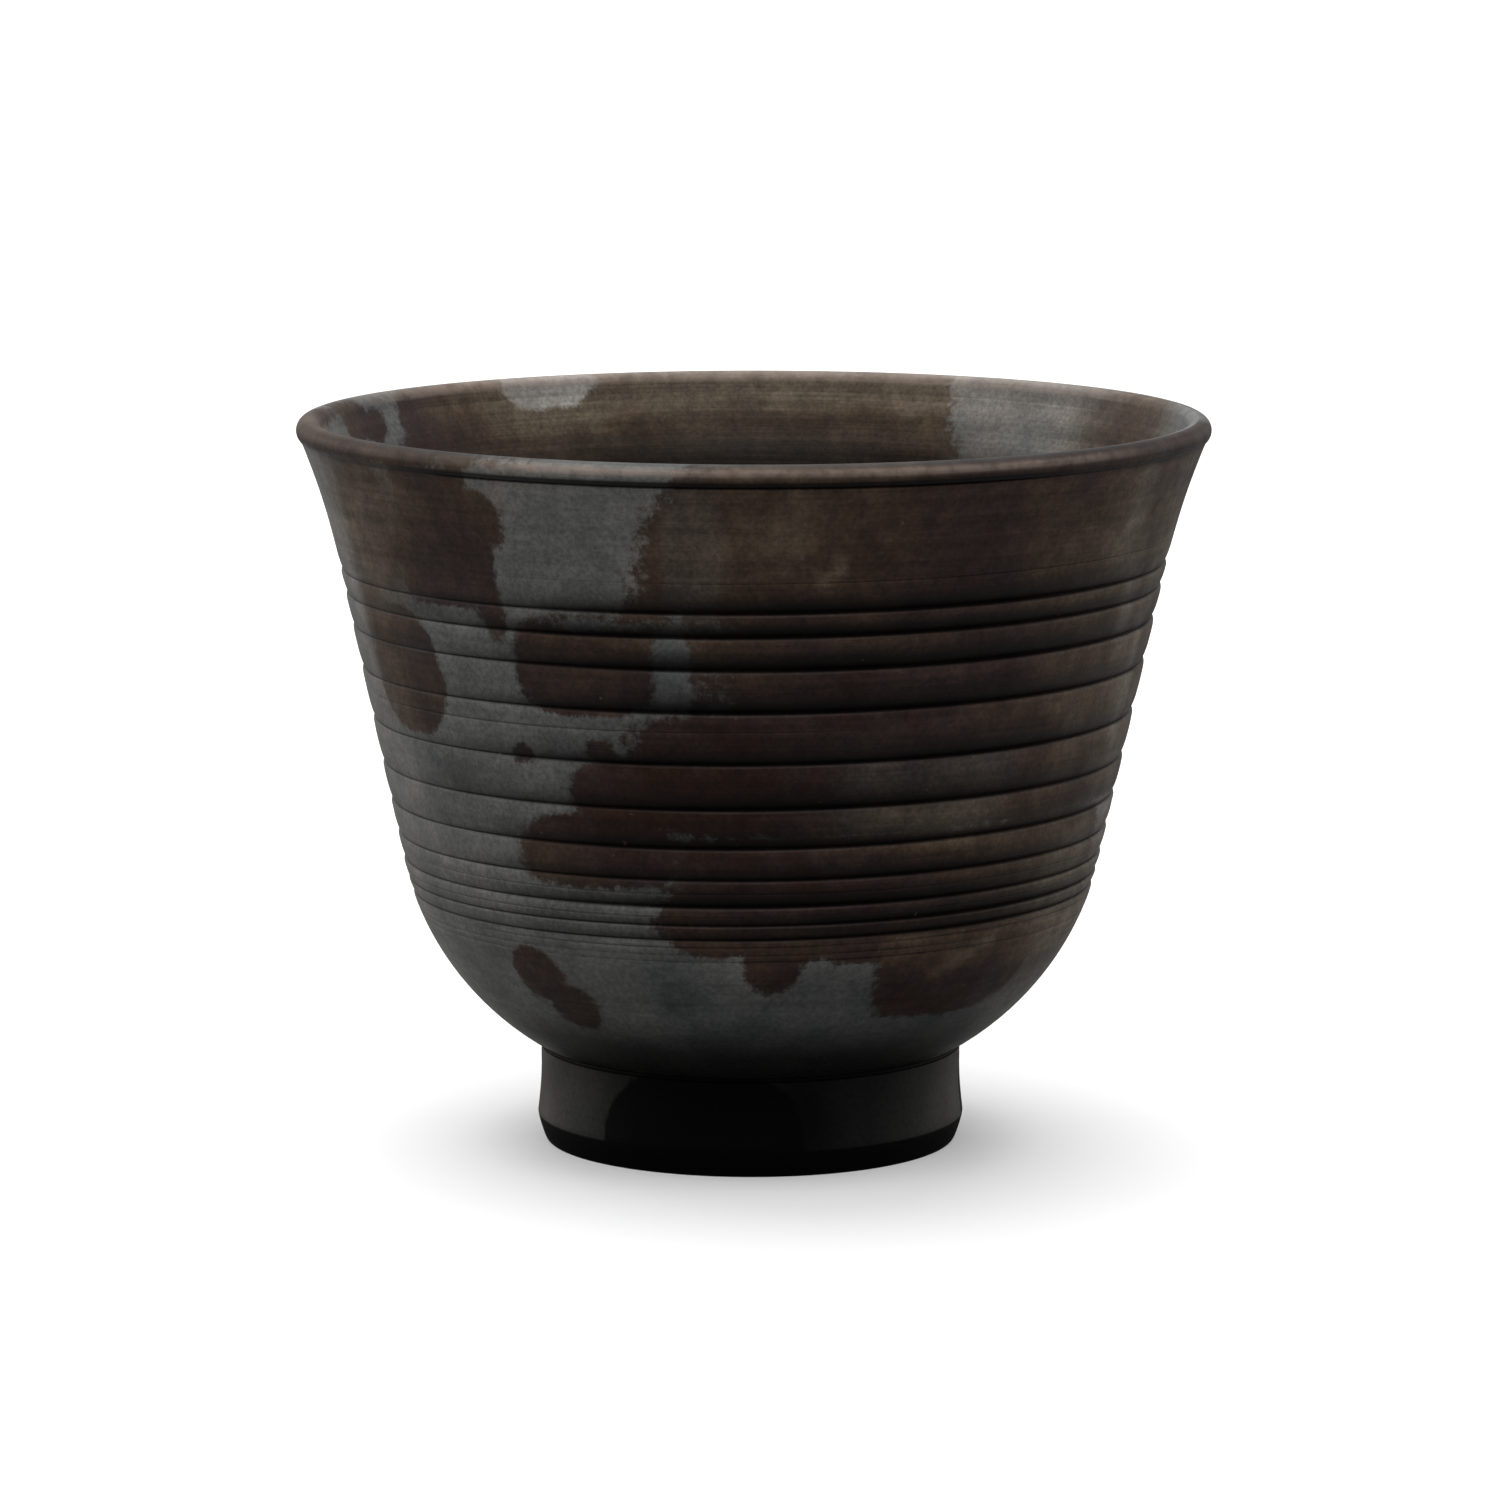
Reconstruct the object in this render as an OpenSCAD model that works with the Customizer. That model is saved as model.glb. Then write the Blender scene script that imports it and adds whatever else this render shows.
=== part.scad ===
// Footed sake cup of wheel-thrown stoneware: a bowl with rings cut round its wall, a rolled bead on its
// lip, and a tall foot ring luted to its underside with slip.
// Millimetres, +Z up. The origin is the centre of the foot's resting face, on the cup's axis.

/* [Cup] */
// Height from the resting face to the crest of the lip
cup_h = 53; // [52:0.5:56]
// Outside diameter at the lip bead, the widest part of the cup
rim_d = 66; // [64:0.5:70]

/* [Wall] */
// Lean of the straight wall away from upright, in degrees
wall_lean = 12; // [10:0.5:13]
// Height where the straight wall meets the rounded hip below it
hip_h = 21; // [20:0.5:22]
// Radius of the hip, which curves in under the bowl
hip_round = 21; // [20.5:0.5:23]
// Height where the wall starts to flare towards the lip
flare_h = 43; // [42:0.5:45]
// Radius of the flare
flare_round = 46; // [40:1:60]
// Wall thickness at the hip
hip_t = 3; // [2.4:0.1:3.2]
// Wall thickness just under the lip bead
lip_t = 1.5; // [1.4:0.1:1.8]
// Thickness of the bowl's floor
floor_t = 3.2; // [2.6:0.1:3.8]
// Radius of the curve between the inside wall and the floor
inside_round = 14; // [12:0.5:15]

/* [Rings] */
// Number of rings cut into the wall
ring_count = 11; // [8:1:11]
// Height of the top ring
top_ring_h = 42.5; // [42:0.5:43.5]
// Drop from the top ring to the second
first_ring_gap = 1.7; // [1.5:0.1:2]
// Widest drop between two rings, part of the way down the wall
widest_ring_gap = 3.7; // [3.2:0.1:3.8]
// Drop from the last ring but one to the last
last_ring_gap = 1; // [0.95:0.05:1.4]
// Depth of a ring
ring_depth = 0.25; // [0.1:0.05:0.4]

/* [Lip] */
// Thickness of the bead that rounds the lip
bead_t = 1.8; // [1.7:0.1:2]

/* [Foot] */
// Outside diameter of the foot ring at its heel
foot_d = 31.1; // [30.6:0.1:31.6]
// Height of the foot ring
foot_h = 6.9; // [6.4:0.1:7.1]
// Thickness of the foot ring where it rests
foot_t = 2.6; // [2:0.1:3.2]
// Height of the bevel round the heel
heel_h = 2; // [1:0.1:3]
// Thickness of the slip that joins the foot ring to the bowl
slip_t = 0.3; // [0.2:0.05:0.5]

/* [Hidden] */
$fn = 128;

// The rings: the drop from one to the next grows steadily to its widest, then closes steadily to the last.
widest_gap_index = 3;
ring_flank = 0.6;    // height of the long slope above each cut
ring_shoulder = 0.3; // height of the short slope below each cut

// The foot ring narrows a little towards the bowl, and its inside leans in towards the middle.
heel_bevel = 0.6;
waist = 0.25;
recess_lean = 0.8;
foot_r = foot_d / 2;
foot_top_r = foot_r - waist;
recess_r = foot_r - heel_bevel - foot_t;
recess_top_r = recess_r - recess_lean;

// The bead is a round section that sits on the wall's top edge.
bead_r = bead_t / 2;
bead_sink = 0.3; // how far the round section is flattened where it sits
bead_centre = [rim_d / 2 - bead_r, cup_h - bead_r];
lip_h = cup_h - bead_t + bead_sink;
lip_r = rim_d / 2 - bead_sink;

// The outside wall, from the lip down: a flare, a straight wall and a round hip, each tangent to the next.
flare_centre_h = flare_h - flare_round * sin(wall_lean);
flare_centre_r = lip_r + sqrt(pow(flare_round, 2) - pow(lip_h - flare_centre_h, 2));
flare_start_r = flare_centre_r - flare_round * cos(wall_lean);
hip_r = flare_start_r - (flare_h - hip_h) * tan(wall_lean);
hip_centre_r = hip_r - hip_round * cos(wall_lean);
hip_centre_h = hip_h + hip_round * sin(wall_lean);

// The seat is the flat underside that the foot ring is luted to.
seat_h = foot_h + slip_t;
floor_h = seat_h + floor_t;
hip_steps = 10;
flare_steps = 6;
inside_steps = 10;

// Drop from ring i to the ring below it
function ring_gap(i) =
    i <= widest_gap_index
    ? first_ring_gap + (widest_ring_gap - first_ring_gap) * i / widest_gap_index
    : widest_ring_gap - (widest_ring_gap - last_ring_gap)
        * (i - widest_gap_index) / (ring_count - 2 - widest_gap_index);

// Height of ring i, counted from the top
function ring_h(i) = i == 0 ? top_ring_h : ring_h(i - 1) - ring_gap(i - 1);

// Outside radius of the plain wall at height h
function outside_r(h) =
    h < hip_h ? hip_centre_r + sqrt(pow(hip_round, 2) - pow(h - hip_centre_h, 2))
    : h < flare_h ? hip_r + (h - hip_h) * tan(wall_lean)
    : flare_centre_r - sqrt(pow(flare_round, 2) - pow(h - flare_centre_h, 2));

// Inside radius of the wall above the hip, which thins steadily towards the lip
function inside_r(h) = outside_r(h) - lip_t - (hip_t - lip_t) * (lip_h - h) / (lip_h - hip_h);

// Outline points of ring i, from the foot of its short slope up to the head of its long one
function ring_points(i) = [
    [outside_r(ring_h(i) - ring_shoulder), ring_h(i) - ring_shoulder],
    [outside_r(ring_h(i)) - ring_depth, ring_h(i)],
    [outside_r(ring_h(i) + ring_flank), ring_h(i) + ring_flank]
];

// Outside of the bowl, from the seat up to the lip
function outside_points() =
    let (
        low_angle = asin((seat_h - hip_centre_h) / hip_round),
        high_angle = asin((ring_h(ring_count - 1) - 1 - hip_centre_h) / hip_round)
    ) concat(
        [for (step = [0:hip_steps])
            let (angle = low_angle + (high_angle - low_angle) * step / hip_steps)
            [hip_centre_r + hip_round * cos(angle), hip_centre_h + hip_round * sin(angle)]],
        [for (i = [ring_count - 1:-1:0]) each ring_points(i)],
        [for (step = [1:flare_steps])
            let (h = flare_h + (lip_h - flare_h) * step / flare_steps)
            [outside_r(h), h]]
    );

// Inside of the bowl, from the lip down round the hip to the middle of the floor
function inside_points() =
    let (
        slope = (inside_r(flare_h) - inside_r(hip_h)) / (flare_h - hip_h),
        lean = atan(slope),
        centre_h = floor_h + inside_round,
        centre_r = inside_r(hip_h) + (centre_h - hip_h) * slope - inside_round / cos(lean)
    ) concat(
        [for (step = [0:flare_steps])
            let (h = lip_h - (lip_h - flare_h) * step / flare_steps)
            [inside_r(h), h]],
        [for (step = [0:inside_steps])
            let (angle = -lean - (90 - lean) * step / inside_steps)
            [centre_r + inside_round * cos(angle), centre_h + inside_round * sin(angle)]],
        [[0, floor_h]]
    );

module bowl() {
    color("dimgray")
    rotate_extrude()
    polygon(concat([[0, seat_h]], outside_points(), inside_points()));
}

module rim_bead() {
    color("rosybrown")
    rotate_extrude()
    intersection() {
        translate(bead_centre)
        circle(r = bead_r);
        translate([0, lip_h])
        square([rim_d, bead_t]);
    }
}

module luting_slip() {
    color("gray")
    rotate_extrude()
    translate([recess_top_r, foot_h])
    square([foot_top_r - recess_top_r, slip_t]);
}

module foot_ring() {
    color("darkslategray")
    rotate_extrude()
    polygon([
        [recess_r, 0],
        [foot_r - heel_bevel, 0],
        [foot_r, heel_h],
        [foot_top_r, foot_h],
        [recess_top_r, foot_h]
    ]);
}

bowl();
rim_bead();
luting_slip();
foot_ring();
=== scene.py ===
import math

import bpy
import numpy as np
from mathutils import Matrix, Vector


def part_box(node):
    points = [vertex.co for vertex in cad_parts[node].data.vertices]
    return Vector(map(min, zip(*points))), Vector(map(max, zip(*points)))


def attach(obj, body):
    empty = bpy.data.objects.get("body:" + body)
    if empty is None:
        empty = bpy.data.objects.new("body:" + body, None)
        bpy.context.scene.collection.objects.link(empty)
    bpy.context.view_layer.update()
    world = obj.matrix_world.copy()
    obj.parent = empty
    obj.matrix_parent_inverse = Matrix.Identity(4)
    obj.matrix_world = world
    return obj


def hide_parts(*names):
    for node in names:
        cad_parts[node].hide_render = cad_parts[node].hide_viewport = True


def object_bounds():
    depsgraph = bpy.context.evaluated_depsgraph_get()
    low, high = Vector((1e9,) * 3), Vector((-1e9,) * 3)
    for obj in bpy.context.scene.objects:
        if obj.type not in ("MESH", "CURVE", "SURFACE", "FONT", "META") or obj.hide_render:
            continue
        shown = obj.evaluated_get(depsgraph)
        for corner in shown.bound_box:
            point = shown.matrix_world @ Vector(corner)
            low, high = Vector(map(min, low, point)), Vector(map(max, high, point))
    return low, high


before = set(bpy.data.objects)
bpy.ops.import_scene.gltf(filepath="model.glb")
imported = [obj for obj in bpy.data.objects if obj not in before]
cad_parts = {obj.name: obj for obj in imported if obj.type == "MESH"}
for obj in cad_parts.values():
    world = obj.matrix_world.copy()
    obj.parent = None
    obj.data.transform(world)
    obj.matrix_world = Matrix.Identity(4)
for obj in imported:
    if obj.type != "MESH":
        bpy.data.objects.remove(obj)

# A footed sake cup of thrown stoneware. Every piece is turned about the cup's axis as a grid of rows
# and columns. A column is a turn round the cup: 0 faces the camera, and a quarter turn is the cup's
# right (+X).
MM = 0.001  # a millimetre, in metres
CAD_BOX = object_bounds()
COLUMNS = 312
TURNS = np.linspace(-np.pi, np.pi, COLUMNS, endpoint=False)
DEGREES = np.degrees(TURNS)
FACING = np.cos(TURNS)  # 1 where the cup faces the camera, -1 where it faces away

# Sizes that the frame gives
CUP_H = CAD_BOX[1][2]
RIM_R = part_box("rim_bead")[1][0]
LIP_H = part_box("bowl")[1][2]
SEAT_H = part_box("bowl")[0][2]
FOOT_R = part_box("foot_ring")[1][0]
FOOT_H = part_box("foot_ring")[1][2]

# The bead: a round section, flattened by its sink where it sits on the wall
BEAD_R, BEAD_SINK = 0.9 * MM, 0.3 * MM
CREST_LEAN = math.radians(20)  # lean of the inside wall where it runs up into the bead
BEAD_ROWS = 24
BEAD_SHADE = 0.12              # darkness of the whole bead, on the scale of the cuts

# The wall, as in the CAD model: a round hip, a straight lean and a flare, each tangent to the next
WALL_LEAN = math.radians(12)
HIP_H, HIP_ROUND = 21 * MM, 21 * MM
FLARE_H, FLARE_ROUND = 43 * MM, 46 * MM
HIP_T, LIP_T, FLOOR_T = 3 * MM, 1.5 * MM, 3.2 * MM
INSIDE_ROUND = 14 * MM
LIP_R = RIM_R - BEAD_SINK
FLARE_CENTRE_H = FLARE_H - FLARE_ROUND * math.sin(WALL_LEAN)
FLARE_CENTRE_R = LIP_R + math.sqrt(FLARE_ROUND**2 - (LIP_H - FLARE_CENTRE_H)**2)
HIP_R = FLARE_CENTRE_R - FLARE_ROUND * math.cos(WALL_LEAN) - (FLARE_H - HIP_H) * math.tan(WALL_LEAN)
HIP_CENTRE_R = HIP_R - HIP_ROUND * math.cos(WALL_LEAN)
HIP_CENTRE_H = HIP_H + HIP_ROUND * math.sin(WALL_LEAN)
FLOOR_H = SEAT_H + FLOOR_T
INSIDE_WALL_ROWS, INSIDE_CURVE_ROWS, FLOOR_ROWS = 56, 20, 14

# The rings: the drop from one to the next grows to its widest, then closes
RING_COUNT, TOP_RING_H = 11, 42.5 * MM
FIRST_GAP, WIDEST_GAP, LAST_GAP, WIDEST_INDEX = 1.7 * MM, 3.7 * MM, 1.0 * MM, 3
RING_DEPTH = 0.45 * MM
RING_CLIMB = 0.26 * MM  # how far each ring rises to the cup's right and falls to its left
FLANK = 0.58 * MM       # height of the slope that rolls under into each cut
SHOULDER = 0.15 * MM    # height of the ledge below each cut
ROLL = 0.95 * MM        # height over which painted shade deepens towards each cut
CUT_ROUND = 0.03 * MM   # rounding at the bottom of each cut
HAIRLINES = np.array([17.3, 17.8, 18.4, 20.6, 22.3, 34.0, 44.6]) * MM
HAIRLINE_DEPTH = 0.07 * MM
UNDERCUT = 0.18 * MM    # depth of the line between the wall and the bead
SEAM_DEPTH = 0.10 * MM  # depth of the line between the wall and the slip

# The foot
HEEL_H, HEEL_BEVEL, WAIST = 2.0 * MM, 0.6 * MM, 0.27 * MM
FOOT_T, RECESS_LEAN = 2.6 * MM, 0.8 * MM

# The cup leans a little, as thrown cups do
LEAN_AT_LIP = 0.28 * MM

# Edges that bend more than this are shaded sharp
SHARP_ANGLE = math.radians(55)


# ---------------------------------------------------------------- shape

def smooth(x, low, high):
    """0 below low, 1 above high, with a smooth rise between."""
    t = np.clip((x - low) / (high - low), 0, 1)
    return t * t * (3 - 2 * t)


def bell(x, middle, width):
    """1 at the middle, fading out on both sides past the width."""
    return np.exp(-((x - middle) / width)**2)


def every_column(values):
    """A column of values, the same at each turn round the cup."""
    return np.repeat(values, COLUMNS, axis=1)


def outside_r(h):
    """Radius of the plain outside wall at height h."""
    hip = HIP_CENTRE_R + np.sqrt(HIP_ROUND**2 - (np.minimum(h, HIP_H) - HIP_CENTRE_H)**2)
    wall = HIP_R + (h - HIP_H) * math.tan(WALL_LEAN)
    flare = FLARE_CENTRE_R - np.sqrt(FLARE_ROUND**2 - (np.maximum(h, FLARE_H) - FLARE_CENTRE_H)**2)
    return np.where(h < HIP_H, hip, np.where(h < FLARE_H, wall, flare))


def wall_inside_r(h):
    """Radius of the inside wall above the hip."""
    return outside_r(h) - LIP_T - (HIP_T - LIP_T) * (LIP_H - h) / (LIP_H - HIP_H)


def crest_point(angle):
    """Point (radius, height) on the bead at an angle up from its outermost point."""
    return RIM_R - BEAD_R + BEAD_R * np.cos(angle), CUP_H - BEAD_R + BEAD_R * np.sin(angle)


def bead_foot_r():
    """Radius inside the bead where it sits on the wall, straight down at its lean from its round."""
    meet_r, meet_h = crest_point(np.pi - CREST_LEAN)
    return meet_r - (meet_h - LIP_H) * math.tan(CREST_LEAN)


def thickened(radius, height):
    """Radius of the inside wall, thickened towards the lip so that it runs smoothly into the bead."""
    swell = wall_inside_r(LIP_H) - bead_foot_r()
    step = 0.1 * MM
    lean_at_lip = (wall_inside_r(LIP_H) - wall_inside_r(LIP_H - step)) / step
    drop = swell / (lean_at_lip - math.tan(CREST_LEAN))
    return radius - swell * np.exp(-(LIP_H - height) / drop)


def inside_outline():
    """Points (radius, height) from the lip down the inside to the middle of the floor."""
    slope = (wall_inside_r(FLARE_H) - wall_inside_r(HIP_H)) / (FLARE_H - HIP_H)
    lean = math.atan(slope)
    centre_h = FLOOR_H + INSIDE_ROUND
    centre_r = wall_inside_r(HIP_H) + (centre_h - HIP_H) * slope - INSIDE_ROUND / math.cos(lean)
    wall_h = np.linspace(LIP_H, centre_h - INSIDE_ROUND * math.sin(lean), INSIDE_WALL_ROWS)
    angles = np.linspace(-lean, -np.pi / 2, INSIDE_CURVE_ROWS)[1:]
    curve_r = centre_r + INSIDE_ROUND * np.cos(angles)
    curve_h = centre_h + INSIDE_ROUND * np.sin(angles)
    floor_r = np.linspace(centre_r, 0, FLOOR_ROWS)[1:-1]
    radius = np.concatenate([wall_inside_r(wall_h), curve_r, floor_r])
    height = np.concatenate([wall_h, curve_h, np.full(len(floor_r), FLOOR_H)])
    return np.stack([thickened(radius, height), height], axis=1)


def ring_heights():
    """Heights of the rings, from the top ring down."""
    heights = [TOP_RING_H]
    closing = RING_COUNT - 2 - WIDEST_INDEX
    for i in range(RING_COUNT - 1):
        if i <= WIDEST_INDEX:
            gap = FIRST_GAP + (WIDEST_GAP - FIRST_GAP) * i / WIDEST_INDEX
        else:
            gap = WIDEST_GAP - (WIDEST_GAP - LAST_GAP) * (i - WIDEST_INDEX) / closing
        heights.append(heights[-1] - gap)
    return np.array(heights)


RINGS = ring_heights()


def sway(rng, size, waves=3):
    """A slow hand-made wander round the cup, one value a column."""
    total = np.zeros(COLUMNS)
    for wave in range(1, waves + 1):
        total += rng.normal() * np.sin(wave * TURNS + rng.uniform(0, 2 * np.pi)) / wave
    return size * total


def ring_wander():
    """Rise of each ring round the cup: they climb to the right, and each wanders a little."""
    rng = np.random.default_rng(7)
    climb = RING_CLIMB * np.sin(TURNS)
    return np.array([climb + sway(rng, 0.03 * MM, 4) for _ in range(RING_COUNT)])


def ring_rise(rows):
    """Rise of the rows round the cup: they follow the rings, and run level near the lip and foot."""
    shares = np.array([np.interp(rows, RINGS[::-1], row[::-1]) for row in np.eye(RING_COUNT)]).T
    fade = smooth(rows, 12 * MM, RINGS[-1]) * (1 - smooth(rows, TOP_RING_H + MM, 49 * MM))
    return (shares @ ring_wander()) * fade[:, None]


def ring_depths():
    """Depth of each ring round the cup: uneven, very shallow on the left and less so on the right."""
    rng = np.random.default_rng(11)
    left_widths = np.full((RING_COUNT, 1), 37.0)
    left_widths[-2:] = 66  # the lowest two stay shallow well round to the front
    left = 0.80 * bell(DEGREES, -62, left_widths)
    right = 0.45 * bell(DEGREES, 80, 32)
    shallow = 1 - left - right
    uneven = np.array([np.clip(1 + sway(rng, 0.16, 6), 0.4, 1.2) for _ in range(RING_COUNT)])
    return RING_DEPTH * shallow * uneven


def cut_rows():
    """Row heights up the outside: close together at each cut and line, wider between."""
    near_cut = np.array([-0.34, -0.22, -0.13, -0.07, -0.02, 0.03, 0.1, 0.2, 0.34, 0.52, 0.75, 1.05]) * MM
    near_line = np.array([-0.1, -0.04, 0, 0.06, 0.14]) * MM
    below_lip = np.array([0.9, 0.6, 0.4, 0.28, 0.2, 0.13, 0.06, 0.0]) * MM
    cut_h = (RINGS[:, None] + near_cut).ravel()
    line_h = (HAIRLINES[:, None] + near_line).ravel()
    near = np.concatenate([cut_h, line_h])
    plain = np.arange(SEAT_H, LIP_H - 1.2 * MM, 0.6 * MM)
    nearest = np.abs(plain[:, None] - near).min(axis=1)
    rows = np.sort(np.concatenate([near, plain[nearest > 0.25 * MM], LIP_H - below_lip]))
    return rows[np.concatenate([[True], np.diff(rows) > 0.02 * MM])]


def cuts(rows):
    """Depth of the ring cuts, and the painted shading round them, which is less than 0 where a painted
    highlight lies.

    A slope rolls under into each cut from above, darkened by painted shade, a short ledge lies below
    it, with a fine line of painted shade between, and a painted highlight lies below the ledge.
    """
    depth, dark, pale = np.zeros((3, len(rows), COLUMNS))
    for height, size in zip(RINGS, ring_depths()):
        away = (rows - height)[:, None]
        blunt = np.sqrt(away**2 + CUT_ROUND**2) - CUT_ROUND
        shape = np.where(away > 0, np.exp(-blunt / FLANK), np.exp(-blunt / SHOULDER))
        shade = np.where(away > 0, np.exp(-blunt / ROLL), np.exp(-blunt / SHOULDER))
        line = bell(away, 0, 0.07 * MM)
        ridge = bell(away, -0.5 * MM, 0.3 * MM)
        depth = np.maximum(depth, shape * size + 0.05 * MM * line)
        # painted shade down each slope and in the fine line, and a painted highlight below the ledge
        dark = np.maximum(dark, np.maximum(shade * size / RING_DEPTH, 0.75 * line))
        pale = np.maximum(pale, ridge * size / RING_DEPTH)
    return depth, dark - 0.28 * pale * (1 - dark)


def hairlines(rows):
    """Depth of the fine scored lines, which come and go round the cup."""
    rng = np.random.default_rng(17)
    depth = np.zeros((len(rows), COLUMNS))
    for height in HAIRLINES:
        size = HAIRLINE_DEPTH * np.clip(0.6 + sway(rng, 0.5, 4), 0, 1)
        depth += bell(rows, height, 0.05 * MM)[:, None] * size
    return depth


def place(radius, height):
    """Positions of a grid of points from radius and height, with the cup's small lean to the right."""
    turns = np.broadcast_to(TURNS, radius.shape)
    lean = LEAN_AT_LIP * height / CUP_H
    return np.stack([radius * np.sin(turns) + lean, -radius * np.cos(turns), height], axis=-1)


def grid_faces(index, looped):
    """Faces between the rows of a grid of point numbers. In a looped grid the last row meets the first."""
    below, above = (index, np.roll(index, -1, axis=0)) if looped else (index[:-1], index[1:])
    corners = [below, np.roll(below, -1, axis=1), np.roll(above, -1, axis=1), above]
    return np.stack(corners, axis=-1).reshape(-1, 4).tolist()


def cap_faces(index, first_pole, last_pole):
    """Triangles from the first row to one pole, and from the last row to the other."""
    turned = np.roll(index, -1, axis=1)
    first_cap = [[first_pole, b, a] for a, b in zip(index[0], turned[0])]
    last_cap = [[last_pole, a, b] for a, b in zip(index[-1], turned[-1])]
    return first_cap + last_cap


def skin(name, grid, fields, poles=None):
    """A closed mesh over a grid: a loop of rows, or rows capped by two poles.

    fields are values by point, which the materials read.
    """
    rows, columns = grid.shape[:2]
    points = grid.reshape(-1, 3)
    index = np.arange(rows * columns).reshape(rows, columns)
    faces = grid_faces(index, looped=poles is None)
    if poles is not None:
        faces += cap_faces(index, len(points), len(points) + 1)
        points = np.concatenate([points, poles])
    mesh = bpy.data.meshes.new(name)
    mesh.from_pydata(points.tolist(), [], faces)
    for field, values in fields.items():
        ends = [] if poles is None else [values[0, :1], values[-1, :1]]
        values = np.concatenate([values.ravel(), *ends]).astype(np.float32)
        mesh.attributes.new(field, "FLOAT", "POINT").data.foreach_set("value", values)
    mesh.shade_smooth()
    mesh.set_sharp_from_angle(angle=SHARP_ANGLE)
    piece = bpy.data.objects.new(name, mesh)
    bpy.context.scene.collection.objects.link(piece)
    return piece


# ---------------------------------------------------------------- patches of brown and grey

# Each patch is (turn in degrees, height, half width, half height, squareness), with lengths in mm. A
# squareness of 2 is an ellipse, and more is squarer. The clay is brown where a brown patch reaches and
# no grey patch does. A veil is a thin grey film over the brown.
OUTSIDE_BROWN = [
    (-42.5, 49.4, 5.0, 2.8, 5),    # upper left, square-edged towards the middle
    (-44.5, 45.2, 5.0, 3.4, 5),
    (-37, 41.6, 0.9, 1.6, 3),      # its tail
    (-64, 52.9, 18.0, 1.3, 5),     # along the lip above it
    (-58.5, 36.7, 4.8, 4.7, 2.3),  # a kidney below it
    (-24, 38.5, 5.2, 3.6, 3.5),    # left of the ringed middle
    (37.5, 46.0, 28.3, 7.5, 8),    # the main patch, down past the rings and stepped on its left
    (41, 37.0, 25.5, 3.0, 7),
    (36, 31.0, 26.0, 4.6, 7),
    (-19, 29.4, 4.0, 2.4, 3),
    (-25, 25.0, 6.4, 2.7, 2.6),
    (30, 22.6, 19.0, 3.9, 8),
    (3.5, 17.4, 2.1, 2.9, 2.1),    # runs of it further down
    (-5, 18.9, 3.0, 1.3, 2.5),
    (9, 18.8, 1.8, 1.5, 2),
    (19, 18.8, 3.4, 1.9, 2.4),
    (39, 16.4, 7.4, 4.4, 2.4),
    (50, 19.0, 7.0, 3.0, 2.4),
    (-40, 15.3, 2.2, 2.0, 2.2),    # spots
    (-35, 12.9, 2.1, 1.8, 2.2),
    (-35, 31.8, 0.9, 0.7, 2),
    (-22, 32.2, 1.1, 0.8, 2),
    (106, 46.5, 13.0, 6.5, 4),     # round the right side and the back
    (112, 37.5, 10.0, 5.0, 3),
    (96, 31.0, 9.0, 4.6, 2.6),
    (128, 41.0, 4.5, 3.6, 2.2),
    (146, 26.5, 9.0, 4.4, 2.6),
    (158, 20.5, 6.5, 4.6, 2.2),
    (134, 18.5, 2.6, 2.2, 2),
    (126, 31.5, 1.2, 0.9, 2),
    (175, 46.5, 15.0, 7.2, 6),
    (-175, 38.0, 11.5, 4.6, 4),
    (164, 35.5, 3.8, 3.2, 2.2),
    (-136, 44.5, 7.5, 5.4, 3),
    (-126, 36.5, 7.0, 4.4, 2.4),
    (-146, 33.5, 3.4, 2.4, 2),
    (-110, 27.0, 8.0, 4.6, 2.4),
    (-102, 21.0, 5.0, 4.4, 2.2),
    (-128, 21.0, 1.1, 0.9, 2),
    (-159, 26.0, 9.0, 4.6, 3),
    (-170, 18.0, 5.0, 4.0, 2.2),
    (-96, 48.0, 4.4, 4.6, 3),
]
OUTSIDE_GREY = [
    (-35, 51.4, 1.7, 0.9, 4),      # a step in the corner of the upper left patch
    (-11.2, 38.4, 1.4, 3.6, 3),    # a strip beside the main patch
    (-20, 41.4, 5.5, 0.4, 3),
    (104, 24.0, 3.0, 6.0, 2.4),    # at the back
    (140, 34.0, 4.0, 3.5, 2.2),
]
OUTSIDE_VEIL = [
    (27, 28.9, 7.0, 3.0, 6),       # over two of the bands
    (59.5, 48.0, 1.5, 4.5, 3),     # a streak down the right
    (64, 41.0, 1.4, 4.5, 3),
    (70, 34.0, 1.5, 4.5, 3),
    (-8, 46.5, 2.2, 5.5, 3),       # on the left edge of the main patch
    (128, 20.0, 5.0, 5.0, 2.4),    # at the back
]
INSIDE_BROWN = [
    (-165, 52.0, 23.9, 9.0, 8),    # the whole back, running down in lobes
    (-177, 41.0, 15.0, 8.0, 3),
    (164, 33.0, 7.5, 7.0, 2.4),
    (-152, 38.5, 8.0, 6.0, 2.4),
    (-168, 29.0, 4.0, 4.0, 2.2),
    (-8, 48.0, 13.0, 9.0, 4),      # the front, out of the camera's sight
    (-28, 38.0, 8.0, 6.0, 2.4),
    (62, 30.0, 6.0, 8.0, 2.4),
    (-80, 24.0, 5.0, 4.0, 2.2),
    (-109, 51.6, 2.4, 1.6, 2.2),   # spots at the left, and a strip along the lip
    (-114, 50.9, 1.8, 1.3, 2),
    (-72, 53.0, 20.0, 0.9, 5),
]
INSIDE_GREY = [
    (-150, 52.5, 3.8, 2.0, 2.4),   # a notch in the back, near the lip
]
FOOT_BROWN = [
    (-14, 1.5, 7.9, 6.6, 2.3),     # a wedge at the front, wider below
    (100, 3.5, 5.0, 5.0, 2.4),     # round the back
    (-150, 4.0, 7.0, 4.0, 2.4),
]

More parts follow.
